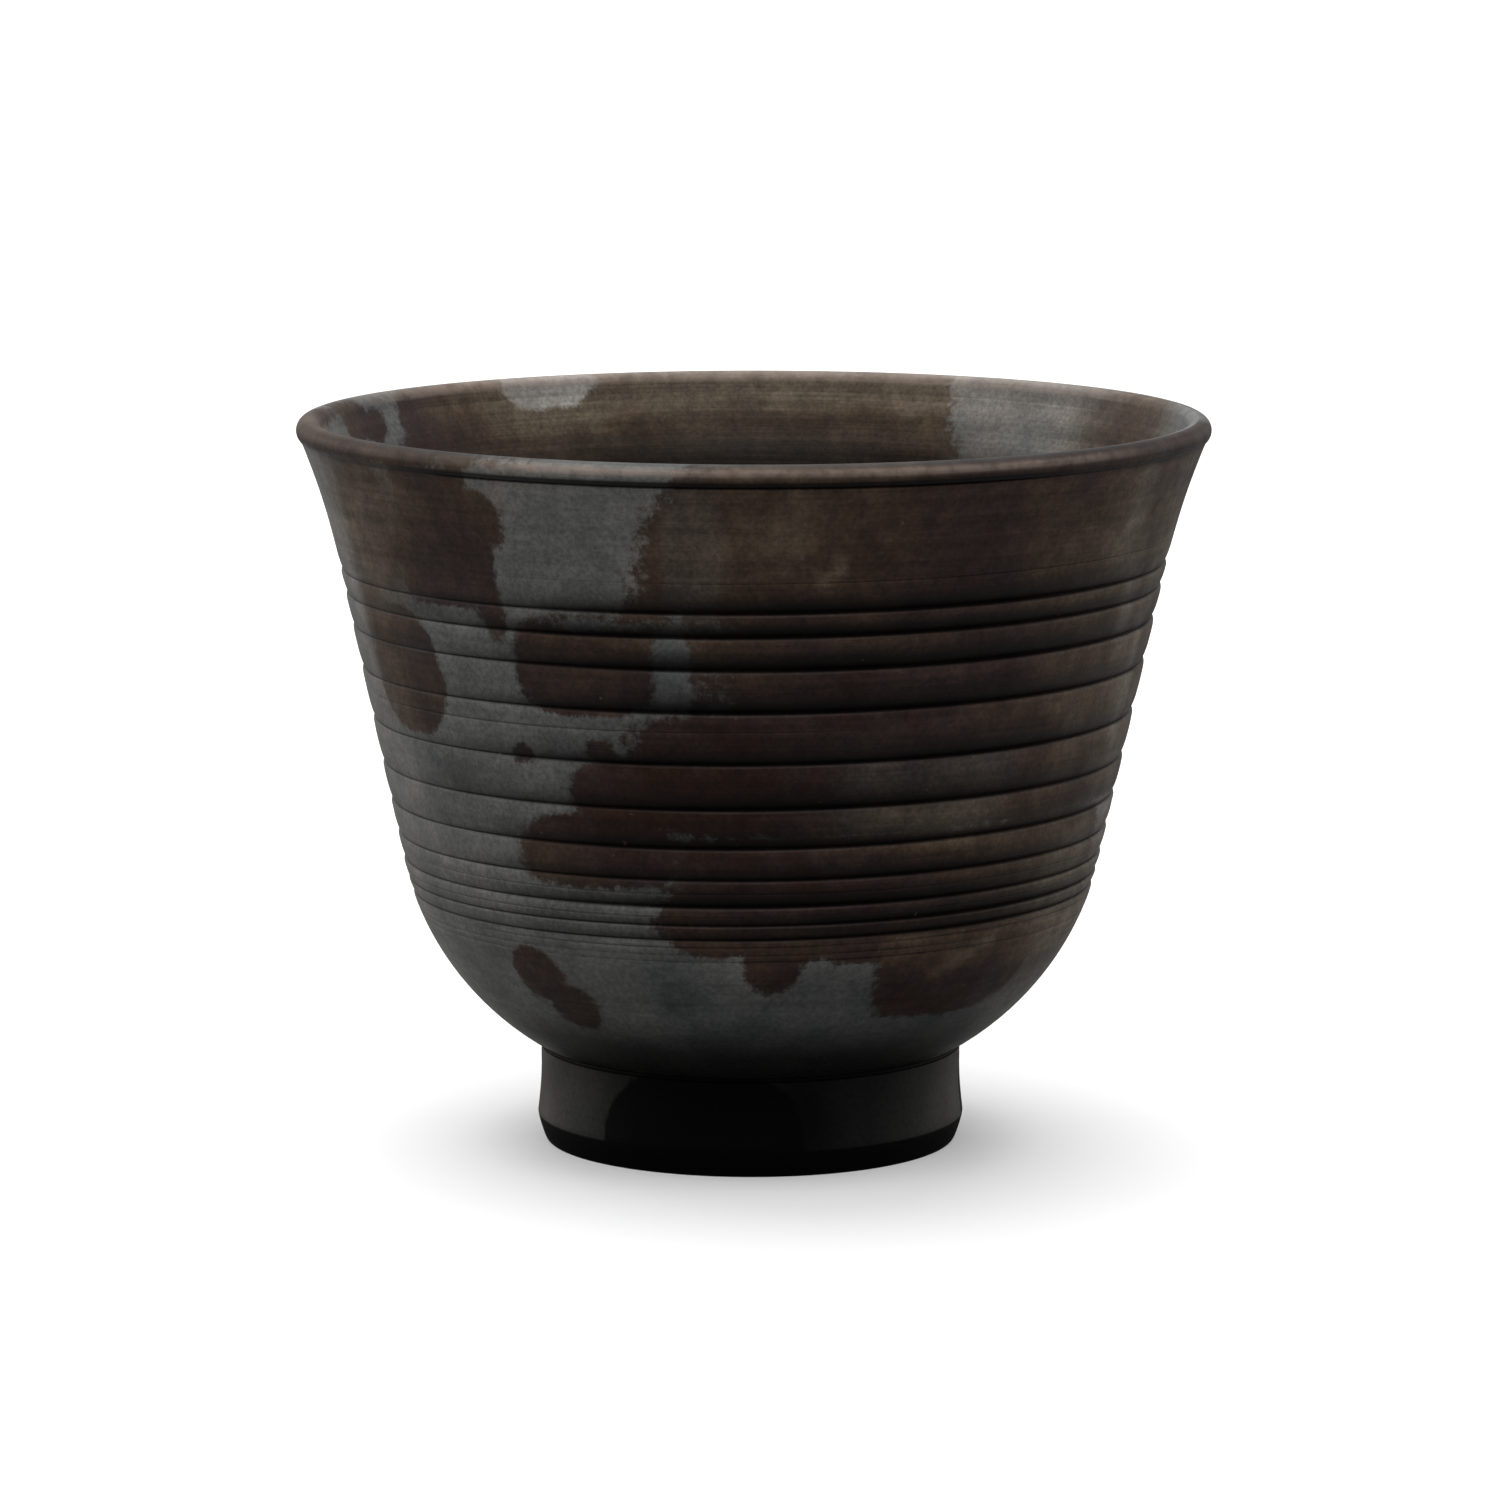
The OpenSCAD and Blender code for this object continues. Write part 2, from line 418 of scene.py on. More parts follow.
# Each soft tint is (turn in degrees, height, half width, half height, strength), with lengths in mm.
# A haze is where the clay turns softly brown outside the patches. In the other lists, strength above 0
# is paler and below 0 is darker.
OUTSIDE_HAZE = [
    (-59, 47.5, 8.0, 7.5, 0.8),    # round the upper left patch and the kidney
    (-66, 37.5, 2.6, 5.0, 0.5),
    (96, 30.0, 10.0, 14.0, 0.6),   # down the right side
    (64, 18.0, 9.0, 7.5, 0.62),
    (-48, 29.0, 5.0, 3.0, 0.32),   # on the left, between the bands
]
INSIDE_HAZE = [
    (114, 46.0, 9.0, 16.0, 0.75),  # the right side
    (-100, 46.0, 5.0, 9.0, 0.35),  # the left side
]
OUTSIDE_TINTS = [
    (1, 47.0, 6.5, 5.0, 0.3),      # pale wear on the brown
    (26, 27.5, 8.0, 3.0, 0.5),
    (2, 16.8, 3.0, 2.4, 0.4),
    (30, 18.0, 5.0, 1.6, 0.4),
    (62, 24.0, 8.0, 6.0, 0.5),
    (65, 19.0, 6.0, 4.0, 1.5),
    (-63, 46.5, 5.0, 4.5, 0.7),
    (-63, 52.4, 7.0, 1.0, -0.6),   # dark along the lip on the left
    (-56, 49.0, 5.0, 3.0, 0.4),    # pale below it and on the bands
    (18, 33.5, 7.0, 2.0, 0.35),
    (33, 26.2, 5.0, 1.5, 0.6),
    (52, 34.0, 4.0, 6.0, 0.25),
    (31, 47.0, 8.0, 6.0, -0.5),    # dark middles of the patches
    (-12, 30.0, 10.0, 6.0, -0.4),
    (-26, 39.0, 5.0, 4.0, -0.3),
    (41, 13.4, 5.4, 2.2, -0.9),
    (10, 23.0, 12.0, 3.0, -0.4),
    (-44, 45.0, 6.0, 5.0, -0.3),
    (4, 12.5, 9.0, 4.0, -0.5),
    (-70, 32.0, 5.0, 22.0, 0.45),  # painted highlight where the wall turns away at both sides
    (84, 32.0, 6.0, 22.0, 0.45),
    (-2, 31.0, 14.0, 9.0, -0.6),   # painted shade across the front, from the bands to the underside
    (24, 36.0, 12.0, 8.0, -0.4),
    (-45, 36.0, 8.0, 9.0, -0.3),
    (0, 13.5, 14.0, 4.5, -0.5),
    (24, 21.0, 12.0, 3.5, -0.3),
    (34, 15.7, 1.1, 0.6, 1.0),     # pale rubs on the right run and below the lip
    (38, 16.7, 1.2, 0.6, 1.0),
    (42, 17.7, 1.4, 0.6, 1.0),
    (9, 44.7, 0.7, 0.8, 1.2),
    (11, 45.8, 0.6, 0.9, 1.0),
    (58, 48.0, 2.0, 5.0, 0.9),     # pale down the right
    (63, 41.0, 2.0, 5.0, 0.9),
    (69, 34.0, 2.0, 5.0, 0.7),
    (50, 45.0, 5.0, 8.0, 0.3),
    (73, 42.0, 3.5, 10.0, 0.5),
    (72, 52.6, 16.0, 1.1, -1.2),   # dark along the lip on the right
    (165, 28, 32, 17, -0.5),       # dark at the back
]
INSIDE_TINTS = [
    (-150, 51.5, 6.0, 3.0, 0.9),   # painted highlight below the lip at the back
    (178, 51.8, 24.0, 1.7, 0.9),
    (0, 12.0, 400.0, 22.0, -0.6),  # painted shade low down, all round
    (178, 45.0, 40.0, 14.0, 0.3),  # a little paler up the back
    (-118, 50.0, 7.0, 6.0, -0.9),  # dark at the left
]
FOOT_TINTS = [
    (34, 4.0, 8.0, 6.0, -0.65),    # painted shade beside the wedge
    (13, 4.0, 3.0, 6.0, -0.7),
    (-36, 4.5, 2.6, 5.0, -0.65),
    (-76, 4.5, 5.0, 6.0, 0.9),     # painted highlight at both sides
    (76, 4.5, 6.0, 5.0, 0.9),
]


def turn_from(turn):
    """Degrees from a turn, between -180 and 180, one value a column."""
    return (DEGREES - turn + 180) % 360 - 180


def reach(patch, radius, height):
    """1 on the edge of a patch, less inside it and more outside it."""
    turn, patch_h, half_w, half_h, square = patch
    across = np.radians(turn_from(turn))[None, :] * radius / MM
    up = height / MM - patch_h
    return (np.abs(across / half_w)**square + np.abs(up / half_h)**square)**(1 / square)


def edge_distance(patches, radius, height):
    """Rough distance in mm to the nearest edge of the patches, less than 0 inside one."""
    nearest = np.full(radius.shape, 50.0)
    for patch in patches:
        nearest = np.minimum(nearest, (reach(patch, radius, height) - 1) * min(patch[2], patch[3]))
    return nearest


def tint(tints, radius, height):
    """Sum of the soft tints, each of which fades out past its half width and height."""
    total = np.zeros(radius.shape)
    for turn, tint_h, half_w, half_h, strength in tints:
        total += strength * np.exp(-reach((turn, tint_h, half_w, half_h, 2), radius, height)**2)
    return total


def clay_fields(radius, height, brown, tints, grey=(), veil=(), haze=()):
    """Values by point that the clay's colour follows: distances to the patches, and sums of the tints."""
    return {
        "brown": np.maximum(edge_distance(brown, radius, height), -edge_distance(grey, radius, height)),
        "veil": edge_distance(veil, radius, height),
        "haze": tint(haze, radius, height),
        "tone": tint(tints, radius, height),
    }


def outside_fields(radius, height):
    return clay_fields(
        radius, height, OUTSIDE_BROWN, OUTSIDE_TINTS,
        grey=OUTSIDE_GREY, veil=OUTSIDE_VEIL, haze=OUTSIDE_HAZE,
    )


def inside_fields(radius, height):
    return clay_fields(radius, height, INSIDE_BROWN, INSIDE_TINTS, grey=INSIDE_GREY, haze=INSIDE_HAZE)


def foot_fields(radius, height):
    return clay_fields(radius, height, FOOT_BROWN, FOOT_TINTS)


# ---------------------------------------------------------------- pieces

def lip_shadow():
    """Strength of the line under the bead and of its painted shade round the cup.

    Both are faint on the left and weaker on the right.
    """
    left = smooth(np.cos(TURNS + math.radians(78)), 0.75, 0.95)
    right = smooth(np.cos(TURNS - math.radians(62)), 0.85, 0.98)
    return 1 - 0.85 * left - 0.55 * right


def seat_shade(rows):
    """Painted shade on the underside as it nears the foot, which fades out at the cup's left and right."""
    dark_h, clear_h = SEAT_H + 0.8 * MM, SEAT_H + 6.2 * MM
    near = 1 - smooth(rows, dark_h, clear_h)
    return 0.78 * near[:, None] * smooth(np.abs(FACING), 0.42, 0.70)


def inside_shade(height):
    """Painted shade inside: a soft band round the back wall, from below the lip down to the hip."""
    band = (1 - smooth(height, 45.8 * MM, 50.6 * MM)) * smooth(height, 24 * MM, 42 * MM)
    return 0.58 * band * smooth(-FACING, 0.4, 1.0)


def bowl_outside():
    """Radius, height and painted shade of the outside of the bowl, from the seat up to the lip."""
    rng = np.random.default_rng(3)
    rows = cut_rows()
    height = rows[:, None] + ring_rise(rows)
    depth, ring_dark = cuts(rows)
    scored = hairlines(rows)
    below_lip = rows < LIP_H - MM
    swell = sway(rng, 0.05 * MM) * (smooth(rows, SEAT_H, HIP_H) * below_lip)[:, None]
    undercut = UNDERCUT * bell(rows - LIP_H, -0.02 * MM, 0.11 * MM)[:, None] * lip_shadow()
    seam = SEAM_DEPTH * np.exp(-(rows - SEAT_H) / (0.25 * MM))[:, None]
    radius = outside_r(height) - depth - scored + swell - undercut - seam
    # painted shade in the line under the bead, in the scored lines, in the cuts and near the seat
    lip_dark = undercut / (0.22 * MM)
    line_dark = 3.5 * scored / MM
    dark = np.max([ring_dark, lip_dark, seat_shade(rows), line_dark], axis=0)
    return radius, height, dark


def bowl_inside():
    """Radius and height of the inside of the bowl, from the lip down to the middle of the floor.

    A spiral of throwing marks climbs the wall, and a swirl is left in the middle of the floor.
    """
    outline = inside_outline()
    radius, height = every_column(outline[:, :1]), every_column(outline[:, 1:])
    climb, gap = 2.9 * MM, 0.75 * MM
    on_wall = smooth(height, 24 * MM, 28 * MM) * (1 - smooth(height, 49.5 * MM, 51.2 * MM))
    spiral = 0.05 * MM * np.sin(2 * np.pi * height / climb + TURNS)
    on_floor = height < FLOOR_H + 0.05 * MM
    swirl = 0.14 * MM * np.sin(radius / gap + TURNS) * bell(radius, 0, 6 * MM)
    return radius + spiral * on_wall, height + swirl * on_floor


def bowl_seat():
    """Radius and height of the underside inside the foot, with its turning marks."""
    radius = every_column(np.linspace(0.6 * MM, outside_r(SEAT_H) - 0.2 * MM, 16)[:, None])
    marks = 0.05 * MM * (1 + np.sin(radius / (0.42 * MM) + TURNS)) * (radius < 11 * MM)
    return radius, SEAT_H + marks


def make_bowl():
    """Underside, ringed outside and inside of the bowl, in one closed skin."""
    seat_r, seat_h = bowl_seat()
    wall_r, wall_h, wall_dark = bowl_outside()
    inner_r, inner_h = bowl_inside()
    radius = np.concatenate([seat_r, wall_r, inner_r])
    height = np.concatenate([seat_h, wall_h, inner_h])
    parts = [
        outside_fields(seat_r, seat_h),
        outside_fields(wall_r, wall_h),
        inside_fields(inner_r, inner_h),
    ]
    fields = {name: np.concatenate([part[name] for part in parts]) for name in parts[0]}
    # painted shade on the outside wall and in a band inside the back
    fields["cut"] = np.concatenate([np.zeros(seat_r.shape), wall_dark, inside_shade(inner_h)])
    lean = LEAN_AT_LIP / CUP_H
    poles = np.array([[lean * SEAT_H, 0, SEAT_H], [lean * FLOOR_H, 0, FLOOR_H + 0.1 * MM]])
    return skin("bowl_stoneware", place(radius, height), fields, poles)


def bead_outline(angles):
    """Points (radius, height) up the bead's round, down its inside and back out along the wall's top."""
    crest = np.stack(crest_point(angles), axis=1)
    inside = np.linspace(crest[-1], [bead_foot_r(), LIP_H], 5)[1:]
    bottom = np.linspace(inside[-1], crest[0], 6)[1:-1]
    return np.concatenate([crest, inside, bottom])


def bead_wear_and_highlight(degrees):
    """Wear and painted highlight by degrees up the bead's round: a band on its outer side in front, its
    inner side behind, where each side faces the camera.
    """
    outer_band = smooth(degrees, -4, 16) * (1 - smooth(degrees, 28, 52))
    inner_band = smooth(degrees, 30, 70)
    front = 0.06 + 0.40 * smooth(np.cos(TURNS - math.radians(12)), 0.65, 0.95)
    front = front + 0.42 * bell(DEGREES, -24, 12)
    back = 0.45 * smooth(-FACING, 0.2, 0.7)
    return outer_band * front * (FACING > -0.2) + inner_band * back


def bead_shade(degrees):
    """Painted shade by degrees up the bead's round: its underside, and its inner side in front."""
    under = (1 - smooth(degrees, -34, -6)) * lip_shadow()
    over = smooth(degrees, 40, 66) * 0.5 * smooth(FACING, 0.2, 0.7)
    return np.maximum(under, over)


def make_bead():
    """The rolled bead: round outside and over the crest, and down inside in line with the wall."""
    rng = np.random.default_rng(5)
    lowest = math.asin((LIP_H - CUP_H + BEAD_R) / BEAD_R)
    angles = np.linspace(lowest, np.pi - CREST_LEAN, BEAD_ROWS)
    outline = bead_outline(angles)
    up = smooth(outline[:, 1], LIP_H, CUP_H)[:, None]
    radius = outline[:, :1] + sway(rng, 0.018 * MM, 5) * up
    height = outline[:, 1:] + sway(rng, 0.020 * MM, 5) * up
    outer, inner = outside_fields(radius, height), inside_fields(radius, height)
    is_outer = outline[:, :1] > RIM_R - BEAD_R
    fields = {name: np.where(is_outer, outer[name], inner[name]) for name in outer}
    degrees = np.degrees(angles)[:, None]
    hidden = np.zeros((len(outline) - BEAD_ROWS, COLUMNS))
    # wear on the bead's crest, with a painted highlight where it faces the camera
    fields["worn_and_highlit"] = np.concatenate([bead_wear_and_highlight(degrees), hidden])
    # painted shade under the bead and on its inner side in front
    fields["cut"] = np.maximum(np.concatenate([bead_shade(degrees), hidden]), BEAD_SHADE)
    return skin("lip_bead", place(radius, height), fields)


def make_slip():
    """The seam of slip between the bowl and the foot ring."""
    rng = np.random.default_rng(9)
    inner_r = FOOT_R - HEEL_BEVEL - FOOT_T - RECESS_LEAN
    outer_r = FOOT_R - WAIST
    middle_h = (FOOT_H + SEAT_H) / 2
    outline = np.array([
        [inner_r, FOOT_H],
        [outer_r - 0.12 * MM, FOOT_H],
        [outer_r - 0.03 * MM, FOOT_H + 0.06 * MM],
        [outer_r, middle_h],
        [outer_r + 0.05 * MM, SEAT_H],
        [inner_r, SEAT_H],
        [inner_r - 0.05 * MM, middle_h],
    ])
    radius = outline[:, :1] + sway(rng, 0.015 * MM, 6)
    height = every_column(outline[:, 1:])
    fields = foot_fields(radius, height)
    # the slip takes most of the heel's dark colour, as painted shade in the joint
    fields["bare_and_shaded"] = np.full(radius.shape, 0.7)
    return skin("slip_seam", place(radius, height), fields)


def foot_outline():
    """Points (radius, height) round the foot: up the bevelled heel and waisted neck, down the recess."""
    heel_h = np.array([0, 0.04, 0.12, 0.3, 0.6, 1.0, 1.4, 1.7, 1.85, 1.95]) * MM
    heel_edge = 0.10 * MM * np.exp(-heel_h / (0.08 * MM))
    heel_r = FOOT_R - HEEL_BEVEL * (1 - heel_h / HEEL_H)**1.35 - heel_edge
    neck_h = np.linspace(HEEL_H, FOOT_H, 16)
    rise = (neck_h - HEEL_H) / (FOOT_H - HEEL_H)
    neck_r = FOOT_R - WAIST * np.sin(np.pi / 2 * np.clip(rise * 1.35, 0, 1.15))
    recess_h = FOOT_H * np.array([1, 0.87, 0.65, 0.43, 0.22, 0.09, 0.036, 0.012, 0])
    recess_edge = 0.12 * MM * np.exp(-recess_h / (0.1 * MM))
    recess_r = FOOT_R - HEEL_BEVEL - FOOT_T - RECESS_LEAN * recess_h / FOOT_H + recess_edge
    top_r = np.linspace(neck_r[-1], recess_r[0], 4)[1:-1]
    rest_r = np.linspace(recess_r[-1], heel_r[0], 7)[1:-1]
    return np.concatenate([
        np.stack([heel_r, heel_h], axis=1),
        np.stack([neck_r, neck_h], axis=1),
        np.stack([top_r, np.full(len(top_r), FOOT_H)], axis=1),
        np.stack([recess_r, recess_h], axis=1),
        np.stack([rest_r, np.zeros(len(rest_r))], axis=1),
    ])


def make_foot():
    """The foot ring, trimmed by hand so that its heel is a little uneven."""
    rng = np.random.default_rng(13)
    outline = foot_outline()
    low = 1 - smooth(outline[:, 1:], 1.0 * MM, FOOT_H)
    radius = outline[:, :1] + sway(rng, 0.03 * MM, 4) * low
    height = every_column(outline[:, 1:])
    heel_edge = HEEL_H - 0.05 * MM + sway(rng, 0.05 * MM, 6)
    fields = foot_fields(radius, height)
    # the heel is bare clay, darkened further by painted shade
    fields["bare_and_shaded"] = 1 - smooth(height - heel_edge, -0.10 * MM, 0.06 * MM)
    return skin("foot_stoneware", place(radius, height), fields)


# ---------------------------------------------------------------- materials

FLECK = (0.150, 0.120, 0.090)
# worn clay, also standing in as a painted highlight on the bead
WORN_HIGHLIT_CLAY = (0.310, 0.245, 0.205)
FOOT_PATCH = (0.0018, 0.0014, 0.0012)
# near-black bare heel, darker than bare clay by painted shade
BARE_SHADED_HEEL = (0.0018, 0.0017, 0.0016)
PAPER_SEEN = (0.74, 0.74, 0.74)   # the floor, as the camera sees it
PAPER_FELT = (0.22, 0.22, 0.22)   # the floor, as it lights the cup


class Nodes:
    """A node tree, with short calls for the nodes used here."""

    def __init__(self, tree):
        self.tree = tree

    def add(self, kind):
        return self.tree.nodes.new(kind)

    def put(self, socket, value):
        """Links a socket to value, or sets it."""
        if isinstance(value, bpy.types.NodeSocket):
            self.tree.links.new(value, socket)
        else:
            socket.default_value = value

    def field(self, name):
        node = self.add("ShaderNodeAttribute")
        node.attribute_name = name
        return node.outputs["Fac"]

    def noise(self, size, detail=3.0, roughness=0.55, stretch=(1, 1, 1), shift=0.0):
        """Noise with features about size across. stretch squeezes it along X, Y or Z."""
        coordinates = self.add("ShaderNodeTexCoord")
        mapping = self.add("ShaderNodeMapping")
        self.put(mapping.inputs["Vector"], coordinates.outputs["Object"])
        mapping.inputs["Location"].default_value = (shift, shift, shift)
        mapping.inputs["Scale"].default_value = stretch
        node = self.add("ShaderNodeTexNoise")
        self.put(node.inputs["Vector"], mapping.outputs[0])
        node.inputs["Scale"].default_value = 1 / size
        node.inputs["Detail"].default_value = detail
        node.inputs["Roughness"].default_value = roughness
        return node.outputs["Fac"]

    def math(self, operation, a, b=0.0):
        node = self.add("ShaderNodeMath")
        node.operation = operation
        self.put(node.inputs[0], a)
        self.put(node.inputs[1], b)
        return node.outputs[0]

    def plus(self, a, b):
        return self.math("ADD", a, b)

    def times(self, a, b):
        return self.math("MULTIPLY", a, b)

    def swing(self, amount, size, detail, roughness, shift=0.0):
        """Noise that swings either side of 0, at most amount / 2 each way."""
        centred = self.math("SUBTRACT", self.noise(size, detail, roughness, shift=shift), 0.5)
        return self.times(centred, amount)

    def spread(self, value, low, high, to_low=0.0, to_high=1.0):
        """value between low and high, spread smoothly from to_low to to_high."""
        node = self.add("ShaderNodeMapRange")
        node.interpolation_type = "SMOOTHSTEP"
        for socket, number in zip(node.inputs, (value, low, high, to_low, to_high)):
            self.put(socket, number)
        return node.outputs[0]

    def ramp(self, value, *stops):
        """Colour by value, from (place, colour) stops."""
        node = self.add("ShaderNodeValToRGB")
        self.put(node.inputs[0], value)
        elements = node.color_ramp.elements
        while len(elements) < len(stops):
            elements.new(0.5)
        for element, (at, colour) in zip(elements, stops):
            element.position = at
            element.color = (*colour, 1)
        return node.outputs[0]

    def mix(self, share, a, b, blend="MIX"):
        node = self.add("ShaderNodeMix")
        node.data_type = "RGBA"
        node.blend_type = blend
        self.put(node.inputs["Factor"], share)
        for socket, value in ((node.inputs[6], a), (node.inputs[7], b)):
            self.put(socket, value if isinstance(value, bpy.types.NodeSocket) else (*value, 1))
        return node.outputs[2]

    def scale(self, colour, amount):
        """colour times amount."""
        grey = self.add("ShaderNodeCombineColor")
        for socket in grey.inputs:
            self.put(socket, amount)
        return self.mix(1.0, colour, grey.outputs[0], "MULTIPLY")

    def bump(self, *layers):
        """Bump from (height, depth in metres) layers, each on top of the last."""
        normal = None
        for height, depth in layers:
            node = self.add("ShaderNodeBump")
            node.inputs["Distance"].default_value = depth
            self.put(node.inputs["Height"], height)
            if normal is not None:
                self.put(node.inputs["Normal"], normal)
            normal = node.outputs[0]
        return normal


def new_material(name):
    """A material, its nodes and its shader."""
    material = bpy.data.materials.new(name)
    material.use_nodes = True
    nodes = Nodes(material.node_tree)
    return material, nodes, material.node_tree.nodes["Principled BSDF"]


def grey_clay(nodes):
    """Satin grey-green surface, mottled warm and cool."""
    tone = nodes.plus(nodes.times(nodes.field("tone"), 0.3), 0.43)
    return nodes.ramp(
        nodes.plus(tone, nodes.swing(0.8, 7 * MM, 3, 0.5)),
        (0.05, (0.040, 0.046, 0.047)),
        (0.28, (0.095, 0.099, 0.094)),
        (0.46, (0.134, 0.135, 0.125)),
        (0.62, (0.185, 0.168, 0.152)),
        (0.90, (0.330, 0.310, 0.290)),
    )


def brown_clay(nodes):
    """Drier brown surface, from red-black through purple-brown to tan."""
    tone = nodes.plus(nodes.times(nodes.field("tone"), 0.45), 0.5)
    return nodes.ramp(
        nodes.plus(tone, nodes.swing(1.1, 6 * MM, 5, 0.62, shift=0.3)),
        (0.05, (0.0260, 0.0110, 0.0065)),
        (0.28, (0.0380, 0.0230, 0.0195)),
        (0.50, (0.0600, 0.0365, 0.0240)),
        (0.72, (0.0940, 0.0650, 0.0430)),
        (0.95, (0.1450, 0.1120, 0.0800)),
    )


def clay(nodes):
    """Colour of the clay, and how far it is brown. The patches' edges are lobed and ragged."""
    lobes = nodes.swing(1.1, 4.5 * MM, 1, 0.5)
    ragged = nodes.swing(1.5, 0.8 * MM, 5, 0.75)
    wobble = nodes.plus(lobes, ragged)
    crisp = nodes.spread(nodes.plus(nodes.field("brown"), wobble), -0.22, 0.22, 1.0, 0.0)
    haze = nodes.spread(nodes.plus(nodes.field("haze"), nodes.times(wobble, 0.08)), 0.15, 0.7)
    veil = nodes.spread(nodes.plus(nodes.field("veil"), wobble), -0.8, 0.6, 0.22, 0.0)
    brown = nodes.math("SUBTRACT", nodes.math("MAXIMUM", crisp, haze), veil)
    brown = nodes.math("MAXIMUM", brown, 0.0)
    return nodes.mix(brown, grey_clay(nodes), brown_clay(nodes)), brown


def clay_tone(nodes, brown, grain, lines, mottle):
    """Lightness of the clay: grain, streaks round the cup, mottling, and painted shading.

    The painted shading darkens the cuts, the bead, the line under it, the underside near the foot and
    the inside, and paints a highlight below each ledge.
    """
    broad_streaks = nodes.noise(2.6 * MM, 3, 0.6, stretch=(0.12, 0.12, 2.0), shift=0.5)
    streaks = nodes.times(nodes.plus(lines, broad_streaks), 0.5)
    streaky = nodes.spread(streaks, 0.35, 0.65, nodes.spread(brown, 0, 1, 0.92, 0.70), 1.14)
    mottled = nodes.spread(mottle, 0.3, 0.7, nodes.spread(brown, 0, 1, 0.90, 0.76), 1.12)
    in_cuts = nodes.spread(nodes.field("cut"), -0.25, 0.75, 1.28, 0.10)
    tone = nodes.times(nodes.spread(grain, 0.3, 0.7, 0.76, 1.20), streaky)
    return nodes.times(nodes.times(tone, mottled), in_cuts)


def stoneware(name, worn_highlit_crest=False):
    """Thrown stoneware in patches of grey and brown, with painted shade in its cuts, and with throwing
    lines and grain.
    """
    material, nodes, shader = new_material(name)
    shader.inputs["Specular IOR Level"].default_value = 0.15
    colour, brown = clay(nodes)
    grain = nodes.noise(0.35 * MM, 3, 0.7)
    lines = nodes.noise(1.0 * MM, 3, 0.6, stretch=(0.06, 0.06, 2.6))
    mottle = nodes.noise(1.3 * MM, 3, 0.6, shift=0.1)
    colour = nodes.scale(colour, clay_tone(nodes, brown, grain, lines, mottle))
    flecks = nodes.spread(nodes.noise(0.9 * MM, 2, 0.5, shift=0.7), 0.74, 0.80, 0.0, 0.35)
    colour = nodes.mix(flecks, colour, FLECK)
    # wear on the crest, and a painted highlight on it
    if worn_highlit_crest:
        wear_and_highlight = nodes.times(nodes.field("worn_and_highlit"), nodes.spread(mottle, 0.3, 0.6, 0.5, 1.0))
        colour = nodes.mix(wear_and_highlight, colour, WORN_HIGHLIT_CLAY)
    nodes.put(shader.inputs["Base Color"], colour)
    roughness = nodes.spread(brown, 0.0, 1.0, 0.42, 0.50)
    patchy = nodes.spread(nodes.noise(2.5 * MM, 3), 0.3, 0.7, -0.05, 0.05)
    nodes.put(shader.inputs["Roughness"], nodes.plus(roughness, patchy))
    nodes.put(shader.inputs["Normal"], nodes.bump((lines, 0.030 * MM), (grain, 0.020 * MM)))
    return material


def foot_clay(name):
    """The foot: grey-green with a near-black brown patch, and a dark heel of bare clay with painted shade.
    """
    material, nodes, shader = new_material(name)
    shader.inputs["Specular IOR Level"].default_value = 0.06
    wobble = nodes.swing(1.4, 2.5 * MM, 3, 0.55)
    brown = nodes.spread(nodes.plus(nodes.field("brown"), wobble), -0.14, 0.14, 1.0, 0.0)
    fade = nodes.spread(nodes.field("tone"), -1.3, 1.0, 0.04, 0.50)
    colour = nodes.mix(brown, nodes.scale(grey_clay(nodes), fade), FOOT_PATCH)
    colour = nodes.mix(nodes.field("bare_and_shaded"), colour, BARE_SHADED_HEEL)
    grain = nodes.noise(0.35 * MM, 3, 0.7)
    lines = nodes.noise(0.8 * MM, 3, 0.6, stretch=(0.08, 0.08, 2.2))
    grainy = nodes.spread(grain, 0.3, 0.7, 0.8, 1.15)
    nodes.put(shader.inputs["Base Color"], nodes.scale(colour, grainy))
    nodes.put(shader.inputs["Roughness"], nodes.spread(grain, 0.3, 0.7, 0.50, 0.64))
    nodes.put(shader.inputs["Normal"], nodes.bump((lines, 0.03 * MM), (grain, 0.02 * MM)))
    return material


def pale_floor(name):
    """Matt paper that is pale to the camera, but throws little light back up at the cup."""
    material, nodes, shader = new_material(name)
    seen = nodes.add("ShaderNodeLightPath").outputs["Is Camera Ray"]
    nodes.put(shader.inputs["Base Color"], nodes.mix(seen, PAPER_FELT, PAPER_SEEN))
    shader.inputs["Roughness"].default_value = 0.9
    shader.inputs["Specular IOR Level"].default_value = 0.0
    shader.inputs["Emission Color"].default_value = (1, 1, 1, 1)
    nodes.put(shader.inputs["Emission Strength"], nodes.times(seen, 0.20))
    return material


# ---------------------------------------------------------------- stage

LIGHT_SPREAD = math.radians(60)


def make_floor():
    half_side = 6.0
    corners = [(-half_side, -half_side, 0), (half_side, -half_side, 0)]
    corners += [(half_side, half_side, 0), (-half_side, half_side, 0)]
    mesh = bpy.data.meshes.new("floor")
    mesh.from_pydata(corners, [], [(0, 1, 2, 3)])
    floor = bpy.data.objects.new("floor", mesh)
    bpy.context.scene.collection.objects.link(floor)
    mesh.materials.append(pale_floor("pale_paper"))


def soft_light(name, azimuth, elevation, strength):
    """A far, wide light. Angles are in degrees: azimuth 0 is behind the camera, and 90 the cup's right."""
    data = bpy.data.lights.new(name, "SUN")
    data.energy = strength
    data.angle = LIGHT_SPREAD
    light = bpy.data.objects.new(name, data)
    light.rotation_euler = (math.radians(90 - elevation), 0, math.radians(azimuth))
    bpy.context.scene.collection.objects.link(light)


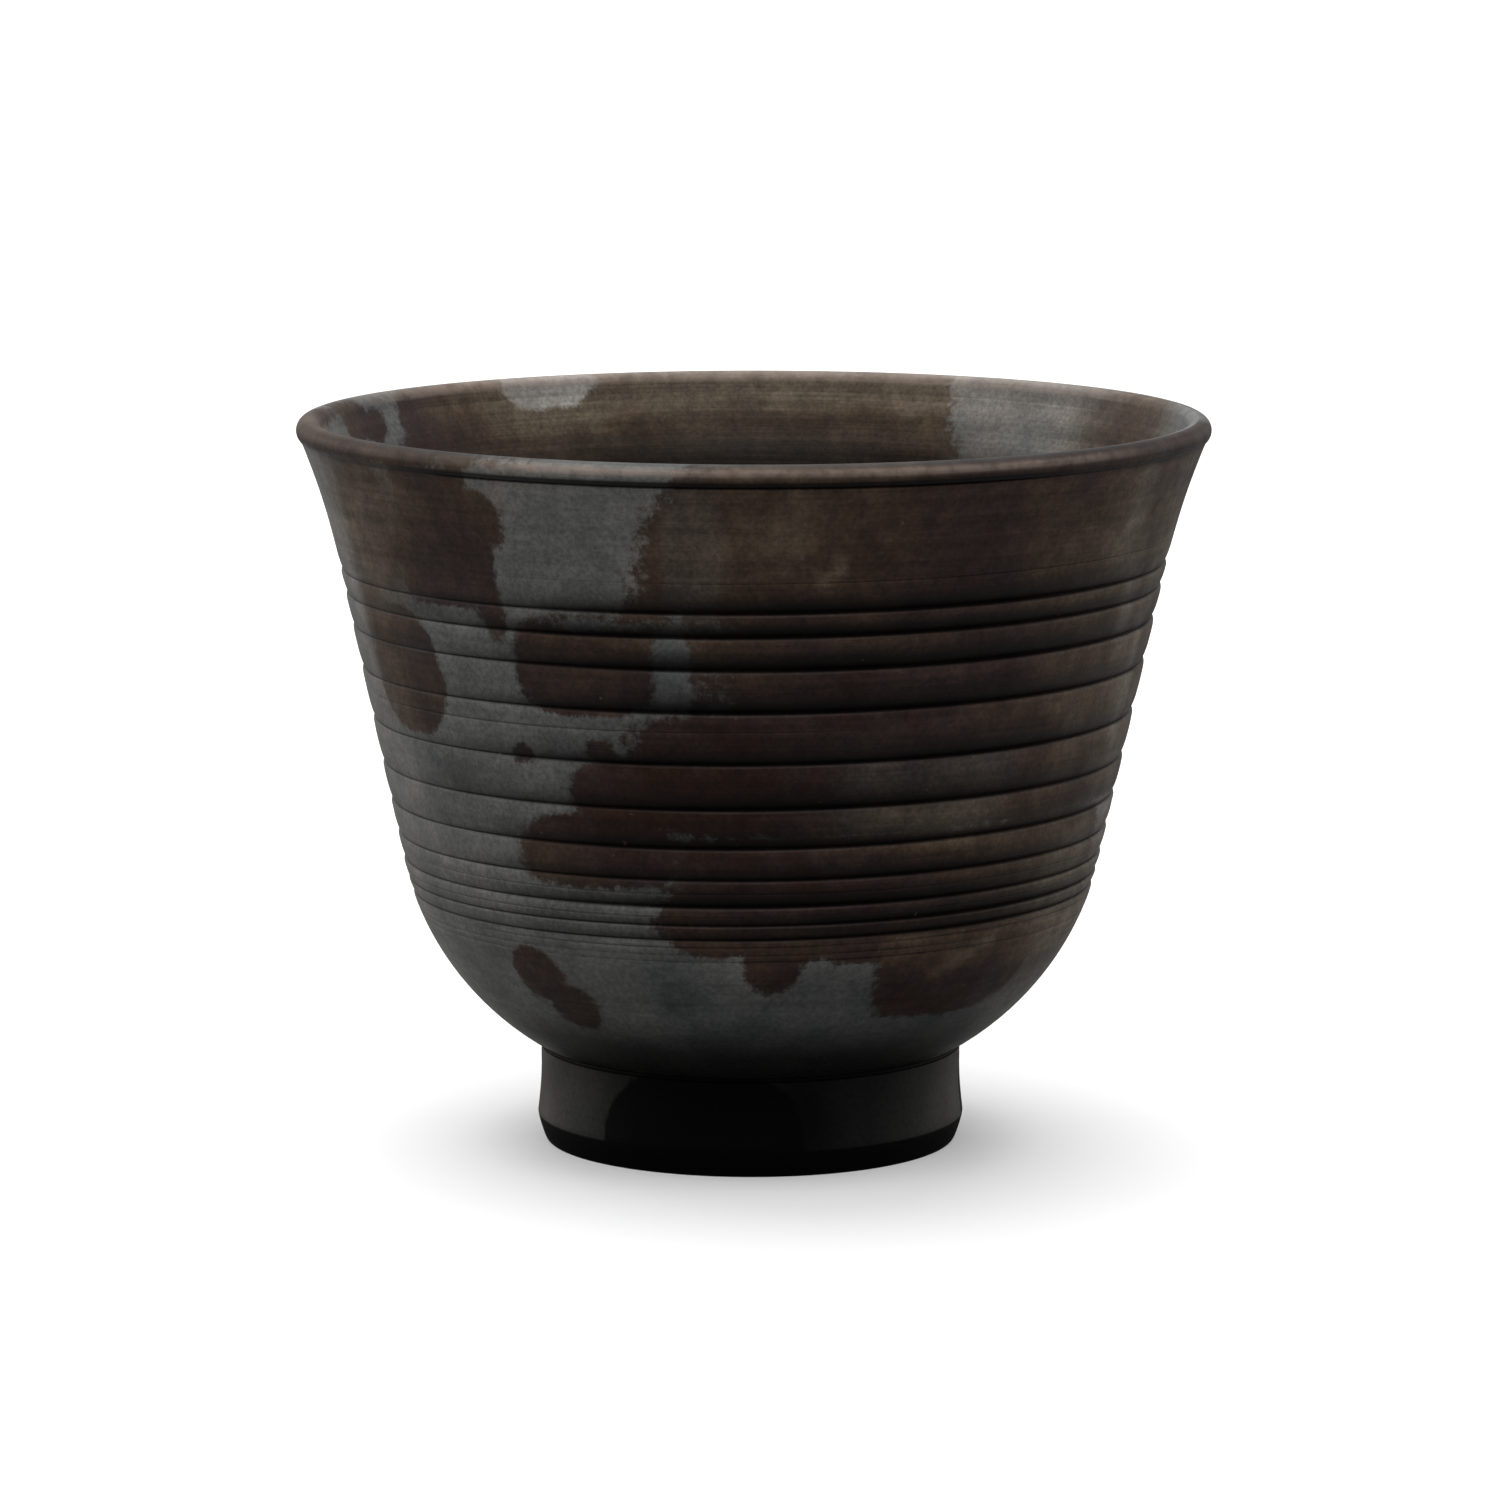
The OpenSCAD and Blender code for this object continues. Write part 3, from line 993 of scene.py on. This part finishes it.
def make_lights():
    soft_light("overhead", azimuth=0, elevation=61, strength=2.0)
    soft_light("behind", azimuth=-168, elevation=68, strength=2.3)
    soft_light("left", azimuth=-100, elevation=24, strength=0.72)
    soft_light("right", azimuth=100, elevation=24, strength=0.5)


def make_world():
    """White to the camera. To the cup, a studio that is dim in front and brighter towards the back."""
    world = bpy.data.worlds.new("studio")
    bpy.context.scene.world = world
    world.use_nodes = True
    nodes = Nodes(world.node_tree)
    direction = nodes.add("ShaderNodeSeparateXYZ")
    nodes.put(direction.inputs[0], nodes.add("ShaderNodeTexCoord").outputs["Generated"])
    behind = nodes.spread(direction.outputs["Y"], -0.5, 0.7, 0.04, 0.55)
    seen = nodes.add("ShaderNodeLightPath").outputs["Is Camera Ray"]
    background = world.node_tree.nodes["Background"]
    nodes.put(background.inputs["Strength"], nodes.math("MAXIMUM", behind, seen))
    background.inputs["Color"].default_value = (1, 1, 1, 1)


def make_camera():
    distance, elevation, aim_h = 0.509, math.radians(8.8), 28.5 * MM
    data = bpy.data.cameras.new("camera")
    data.lens = 168
    data.sensor_width = 36
    data.clip_start = 0.01
    camera = bpy.data.objects.new("camera", data)
    camera.location = (0, -distance * math.cos(elevation), aim_h + distance * math.sin(elevation))
    camera.rotation_euler = (math.pi / 2 - elevation, 0, 0)
    bpy.context.scene.collection.objects.link(camera)
    bpy.context.scene.camera = camera
    bpy.context.scene.view_settings.view_transform = "Standard"


# ---------------------------------------------------------------- assembly

def fit(piece, material, slot, *nodes):
    """Gives a piece its material, rides it on the cup and lets it stand for CAD nodes."""
    piece.data.materials.append(material)
    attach(piece, "root")
    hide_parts(*nodes)


make_camera()
fit(make_bowl(), stoneware("satin_stoneware"), "satin_stoneware", "bowl")
fit(make_bead(), stoneware("worn_lip", worn_highlit_crest=True), "worn_lip", "rim_bead")
fit(make_slip(), foot_clay("slip_clay"), "foot_stoneware", "luting_slip")
fit(make_foot(), foot_clay("foot_clay"), "foot_stoneware", "foot_ring")
make_floor()
make_lights()
make_world()
